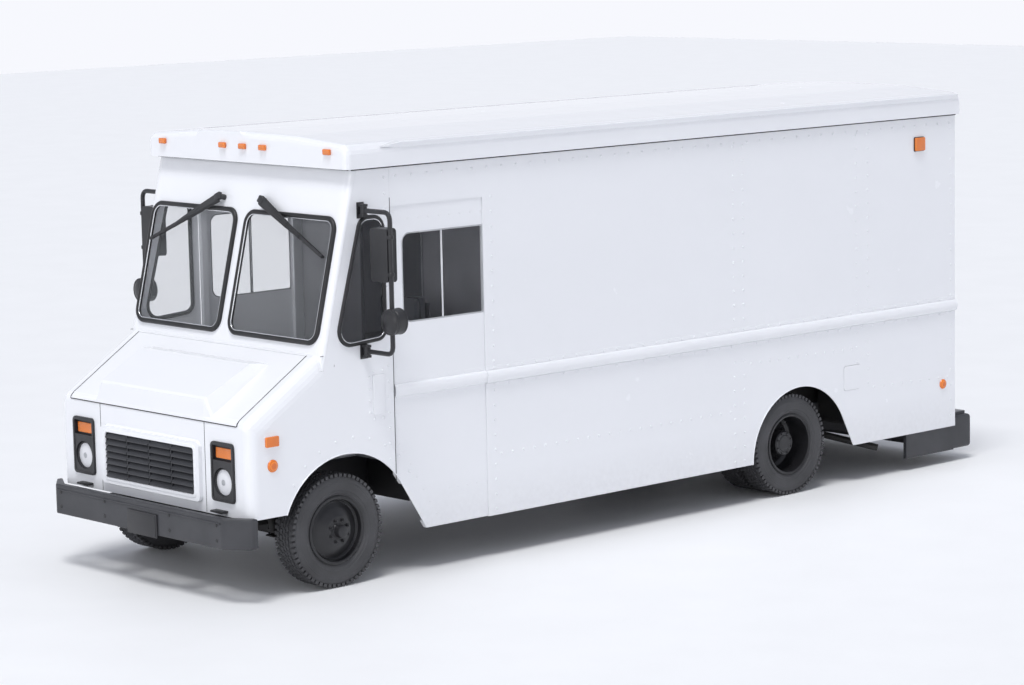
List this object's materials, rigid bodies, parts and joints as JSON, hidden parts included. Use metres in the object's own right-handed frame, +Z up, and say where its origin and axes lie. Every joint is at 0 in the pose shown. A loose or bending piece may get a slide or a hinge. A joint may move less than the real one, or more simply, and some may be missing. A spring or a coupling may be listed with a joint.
{
  "type": "mail delivery truck",
  "caption": "Walk-in step van for mail delivery with sliding cab doors, double rear doors, opening bonnet, sprung axles and dual rear wheels.",
  "frame": {"origin": "on the ground under the middle of the truck", "axes": "+Z up, nose along -Y, the truck's left side along +X"},
  "size_m": [2.996, 7.59, 3.0499],
  "materials": {
    "body_white": "glossy white painted aluminium sheet",
    "interior_grey": "grey painted aluminium",
    "black_plastic": "satin black moulding",
    "black_steel": "satin black painted steel",
    "chassis_steel": "dark painted steel",
    "wheel_steel": "dark grey painted steel",
    "tyre_rubber": "matt black tyre rubber",
    "clear_glass": "clear glass",
    "dark_glass": "grey tinted glass",
    "seat_vinyl": "dark grey seat trim"
  },
  "bodies": {
    "truck_body": {"bulkhead": "interior_grey", "cab_floor": "interior_grey", "cargo_floor": "interior_grey", "dashboard": "black_plastic", "engine": "chassis_steel", "exhaust_system": "chassis_steel", "frame_rails": "chassis_steel", "front_bumper": "black_steel", "fuel_tank": "chassis_steel", "grille": "black_plastic", "grille_panel": "body_white", "left_cowl_side": "body_white", "left_headlamp": "black_plastic", "left_quarter_glass": "dark_glass", "left_side_panel": "body_white", "left_windshield_glass": "clear_glass", "rear_bumper": "black_steel", "rear_frame": "body_white", "right_cowl_side": "body_white", "right_headlamp": "black_plastic", "right_quarter_glass": "dark_glass", "right_side_panel": "body_white", "right_windshield_glass": "clear_glass", "roof_cap": "body_white", "seat_pedestal": "black_steel", "steering_column": "black_steel", "windshield_panel": "body_white"},
    "front_suspension": {"front_axle": "chassis_steel"},
    "left_steering": {"left_knuckle": "chassis_steel"},
    "right_steering": {"right_knuckle": "chassis_steel"},
    "front_left_road_wheel": {"front_left_wheel": "wheel_steel", "front_left_tyre": "tyre_rubber"},
    "front_right_road_wheel": {"front_right_wheel": "wheel_steel", "front_right_tyre": "tyre_rubber"},
    "rear_suspension": {"rear_axle": "chassis_steel"},
    "rear_left_road_wheel": {"rear_left_wheels": "wheel_steel", "rear_left_outer_tyre": "tyre_rubber", "rear_left_inner_tyre": "tyre_rubber"},
    "rear_right_road_wheel": {"rear_right_wheels": "wheel_steel", "rear_right_outer_tyre": "tyre_rubber", "rear_right_inner_tyre": "tyre_rubber"},
    "propeller_shaft": {"driveshaft": "chassis_steel"},
    "bonnet": {"hood": "body_white"},
    "left_sliding_door": {"left_cab_door": "body_white", "left_door_glass": "dark_glass"},
    "right_sliding_door": {"right_cab_door": "body_white", "right_door_glass": "dark_glass"},
    "left_cargo_door": {"left_rear_door": "body_white", "left_rear_glass": "clear_glass"},
    "right_cargo_door": {"right_rear_door": "body_white", "right_rear_glass": "clear_glass"},
    "left_wiper_arm": {"left_wiper": "black_steel"},
    "right_wiper_arm": {"right_wiper": "black_steel"},
    "left_mirror_arm": {"left_mirror": "black_steel"},
    "right_mirror_arm": {"right_mirror": "black_steel"},
    "hand_wheel": {"steering_wheel": "black_plastic"},
    "seat_slider": {"seat_frame": "black_steel", "seat_cushion": "seat_vinyl", "seat_back": "seat_vinyl"},
    "filler_flap": {"fuel_filler_door": "body_white"}
  },
  "joints": [
    {"name": "front_suspension_travel", "type": "slide", "parent": "truck_body", "child": "front_suspension", "axis": [0, 0, 1], "range_m": [-0.04, 0.05], "stiffness_N_per_m": 220000, "springref_m": -0.0559},
    {"name": "rear_suspension_travel", "type": "slide", "parent": "truck_body", "child": "rear_suspension", "axis": [0, 0, 1], "range_m": [-0.04, 0.04], "stiffness_N_per_m": 380000, "springref_m": -0.0611},
    {"name": "left_steer", "type": "hinge", "parent": "front_suspension", "child": "left_steering", "pos_m": [0.79, -2.885, 0.392], "axis": [0, 0, 1], "range_deg": [-30, 30]},
    {"name": "right_steer", "type": "hinge", "parent": "front_suspension", "child": "right_steering", "pos_m": [-0.79, -2.885, 0.392], "axis": [0, 0, 1], "range_deg": [-30, 30]},
    {"name": "front_left_wheel_spin", "type": "hinge", "parent": "left_steering", "child": "front_left_road_wheel", "pos_m": [0.953, -2.885, 0.392], "axis": [1, 0, 0], "continuous": true},
    {"name": "front_right_wheel_spin", "type": "hinge", "parent": "right_steering", "child": "front_right_road_wheel", "pos_m": [-0.953, -2.885, 0.392], "axis": [1, 0, 0], "continuous": true},
    {"name": "rear_left_wheel_spin", "type": "hinge", "parent": "rear_suspension", "child": "rear_left_road_wheel", "pos_m": [0.829, 1.635, 0.392], "axis": [1, 0, 0], "continuous": true},
    {"name": "rear_right_wheel_spin", "type": "hinge", "parent": "rear_suspension", "child": "rear_right_road_wheel", "pos_m": [-0.829, 1.635, 0.392], "axis": [1, 0, 0], "continuous": true},
    {"name": "propeller_shaft_spin", "type": "hinge", "parent": "rear_suspension", "child": "propeller_shaft", "pos_m": [0, 1.385, 0.404], "axis": [0, 1, 0], "continuous": true},
    {"name": "hood_hinge", "type": "hinge", "parent": "truck_body", "child": "bonnet", "pos_m": [0, -3.035, 1.597], "axis": [1, 0, 0], "range_deg": [-50, 0]},
    {"name": "left_door_slide", "type": "slide", "parent": "truck_body", "child": "left_sliding_door", "axis": [0, 1, 0], "range_m": [0, 0.8]},
    {"name": "right_door_slide", "type": "slide", "parent": "truck_body", "child": "right_sliding_door", "axis": [0, 1, 0], "range_m": [0, 0.8]},
    {"name": "left_rear_door_hinge", "type": "hinge", "parent": "truck_body", "child": "left_cargo_door", "pos_m": [0.8035, 3.58, 1.6], "axis": [0, 0, -1], "range_deg": [0, 110]},
    {"name": "right_rear_door_hinge", "type": "hinge", "parent": "truck_body", "child": "right_cargo_door", "pos_m": [-0.8035, 3.58, 1.6], "axis": [0, 0, 1], "range_deg": [0, 110]},
    {"name": "left_wiper_sweep", "type": "hinge", "parent": "truck_body", "child": "left_wiper_arm", "pos_m": [0.229, -2.7783, 2.58024], "axis": [0, -0.9707, 0.2401], "range_deg": [-60, 0]},
    {"name": "right_wiper_sweep", "type": "hinge", "parent": "truck_body", "child": "right_wiper_arm", "pos_m": [-0.229, -2.7783, 2.58024], "axis": [0, -0.9707, 0.2401], "range_deg": [0, 60]},
    {"name": "left_mirror_fold", "type": "hinge", "parent": "truck_body", "child": "left_mirror_arm", "pos_m": [1.125, -2.645, 2], "axis": [0, 0, 1], "range_deg": [0, 70]},
    {"name": "right_mirror_fold", "type": "hinge", "parent": "truck_body", "child": "right_mirror_arm", "pos_m": [-1.125, -2.645, 2], "axis": [0, 0, 1], "range_deg": [-70, 0]},
    {"name": "steering_wheel_turn", "type": "hinge", "parent": "truck_body", "child": "hand_wheel", "pos_m": [0.48, -2.385, 1.46], "axis": [0, 0.7007, 0.7134], "range_deg": [-500, 500]},
    {"name": "seat_slide", "type": "slide", "parent": "truck_body", "child": "seat_slider", "axis": [0, 1, 0], "range_m": [0, 0.15]},
    {"name": "filler_flap_hinge", "type": "hinge", "parent": "truck_body", "child": "filler_flap", "pos_m": [1.093, 2.219, 0.84], "axis": [0, 0, -1], "range_deg": [0, 100]}
  ],
  "couplings": [
    {"joint": "right_steer", "follows": "left_steer", "ratio": 1},
    {"joint": "steering_wheel_turn", "follows": "left_steer", "ratio": 16},
    {"joint": "rear_right_wheel_spin", "follows": "rear_left_wheel_spin", "ratio": 1},
    {"joint": "propeller_shaft_spin", "follows": "rear_left_wheel_spin", "ratio": 4.1},
    {"joint": "right_wiper_sweep", "follows": "left_wiper_sweep", "ratio": -1}
  ]
}
